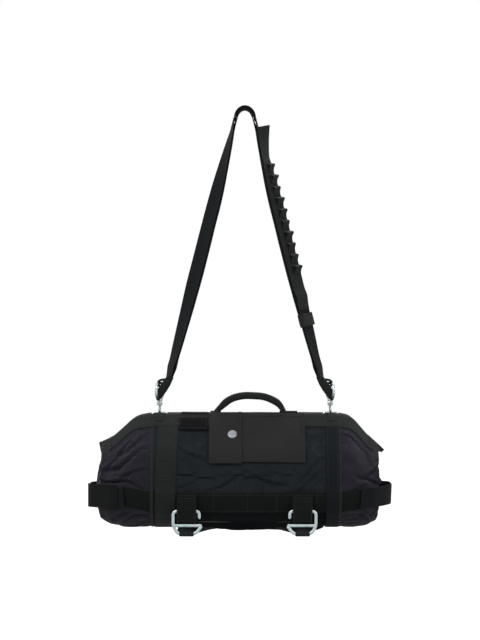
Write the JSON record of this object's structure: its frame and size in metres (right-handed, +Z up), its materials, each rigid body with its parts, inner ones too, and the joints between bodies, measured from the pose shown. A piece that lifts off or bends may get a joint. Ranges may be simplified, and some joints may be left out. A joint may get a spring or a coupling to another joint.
{
  "type": "rope storage bag",
  "caption": "Bolster-shaped rope bag with a zipped top, front pocket, carry handle and grab loops, hung from a clip-on webbing shoulder strap with gear loops.",
  "frame": {"origin": "under the topmost bend of the shoulder strap, where a peg carries it", "axes": "+Z up, the front with the pocket faces -Y, +X to the viewer's right"},
  "size_m": [0.5798, 0.2226, 0.8196],
  "materials": {
    "webbing": "ribbed nylon webbing, matte black",
    "centre_cloth": "coated nylon, slightly shiny blue-black",
    "base_cloth": "coated nylon, black",
    "end_cloth": "plain nylon, purple-charcoal",
    "pocket_cloth": "textured polyamide cloth, dark grey",
    "patch_cloth": "plain dark patch with two sewn lines",
    "zip_cloth": "woven zip tape",
    "zip_nylon": "moulded coil",
    "foam_board": "stiff foam sheet",
    "hardware": "polished plated steel",
    "buckle_metal": "satin aluminium rod",
    "zip_metal": "blackened metal",
    "snap_metal": "nickel-plated cap"
  },
  "bodies": {
    "strap": {"strap_outer_layer": "webbing", "strap_inner_layer": "webbing", "loop_strip": "webbing", "gear_loops": "webbing", "left_strap_end": "webbing", "right_strap_end": "webbing", "left_eye": "hardware", "right_eye": "hardware"},
    "keeper": {"keeper": "webbing"},
    "left_hook": {"left_hook_body": "hardware", "left_gate_pin": "hardware"},
    "left_gate": {"left_hook_gate": "hardware"},
    "right_hook": {"right_hook_body": "hardware", "right_gate_pin": "hardware"},
    "right_gate": {"right_hook_gate": "hardware"},
    "bag": {"front_panel": "centre_cloth", "back_panel": "centre_cloth", "base_panel": "base_cloth", "left_end_panel": "end_cloth", "right_end_panel": "end_cloth", "base_stiffener": "foam_board", "zip_tapes": "zip_cloth", "zip_coil": "zip_nylon", "zip_end_stops": "zip_metal", "edge_band_front": "webbing", "edge_band_back": "webbing", "left_end_tab": "webbing", "right_end_tab": "webbing", "lower_band_front": "webbing", "lower_band_back": "webbing", "girth_strap_left": "webbing", "girth_strap_right": "webbing", "label_patch": "patch_cloth", "label_top_strip": "pocket_cloth", "left_grab_loop": "webbing", "right_grab_loop": "webbing", "left_loop_sleeve": "webbing", "handle_feet": "webbing", "pocket": "pocket_cloth", "snap_stud": "snap_metal", "left_d_ring": "hardware", "right_d_ring": "hardware", "left_ring_chape": "webbing", "right_ring_chape": "webbing", "left_hang_loop": "webbing", "right_hang_loop": "webbing", "belly_straps": "webbing"},
    "zip_slider": {"zip_slider": "zip_metal"},
    "zip_pull": {"zip_pull": "zip_metal"},
    "pocket_tab": {"pocket_tab": "pocket_cloth", "snap_cap": "snap_metal", "snap_socket": "snap_metal"},
    "carry_handle": {"carry_handle": "webbing"},
    "left_buckle": {"left_hook_buckle": "buckle_metal", "left_belly_wrap": "webbing", "left_strap_tail": "webbing"},
    "right_buckle": {"right_hook_buckle": "buckle_metal", "right_belly_wrap": "webbing", "right_strap_tail": "webbing"}
  },
  "joints": [
    {"name": "bag_swing", "type": "hinge", "parent": "strap", "child": "bag", "pos_m": [0, 0, -0.5835], "axis": [1, 0, 0], "range_deg": [-38, 38]},
    {"name": "left_hook_swivel", "type": "hinge", "parent": "strap", "child": "left_hook", "pos_m": [-0.164, 0, -0.563], "axis": [0, 0, 1], "range_deg": [-25, 25]},
    {"name": "right_hook_swivel", "type": "hinge", "parent": "strap", "child": "right_hook", "pos_m": [0.164, 0, -0.563], "axis": [0, 0, 1], "range_deg": [-25, 25]},
    {"name": "left_gate_hinge", "type": "hinge", "parent": "left_hook", "child": "left_gate", "pos_m": [-0.164, -0.0066, -0.5675], "axis": [1, 0, 0], "range_deg": [0, 30], "stiffness_Nm_per_rad": 0.02},
    {"name": "right_gate_hinge", "type": "hinge", "parent": "right_hook", "child": "right_gate", "pos_m": [0.164, -0.0066, -0.5675], "axis": [1, 0, 0], "range_deg": [0, 30], "stiffness_Nm_per_rad": 0.02},
    {"name": "keeper_slide", "type": "slide", "parent": "strap", "child": "keeper", "axis": [0.2583, 0, -0.9661], "range_m": [0, 0.018]},
    {"name": "zip_slide", "type": "slide", "parent": "bag", "child": "zip_slider", "axis": [1, 0, 0], "range_m": [-0.24, 0]},
    {"name": "zip_pull_hinge", "type": "hinge", "parent": "zip_slider", "child": "zip_pull", "pos_m": [0.1365, 0, -0.5938], "axis": [0, 1, 0], "range_deg": [0, 95]},
    {"name": "pocket_tab_hinge", "type": "hinge", "parent": "bag", "child": "pocket_tab", "pos_m": [-0.068, -0.06184, -0.60511], "axis": [0, -0.6274, -0.7787], "range_deg": [0, 150]},
    {"name": "carry_handle_hinge", "type": "hinge", "parent": "bag", "child": "carry_handle", "pos_m": [0.0095, -0.02, -0.586], "axis": [1, 0, 0], "range_deg": [-60, 4]},
    {"name": "left_buckle_hinge", "type": "hinge", "parent": "bag", "child": "left_buckle", "pos_m": [-0.112, -0.111, -0.768], "axis": [1, 0, 0], "range_deg": [-30, 2]},
    {"name": "right_buckle_hinge", "type": "hinge", "parent": "bag", "child": "right_buckle", "pos_m": [0.108, -0.111, -0.768], "axis": [1, 0, 0], "range_deg": [-30, 2]}
  ]
}
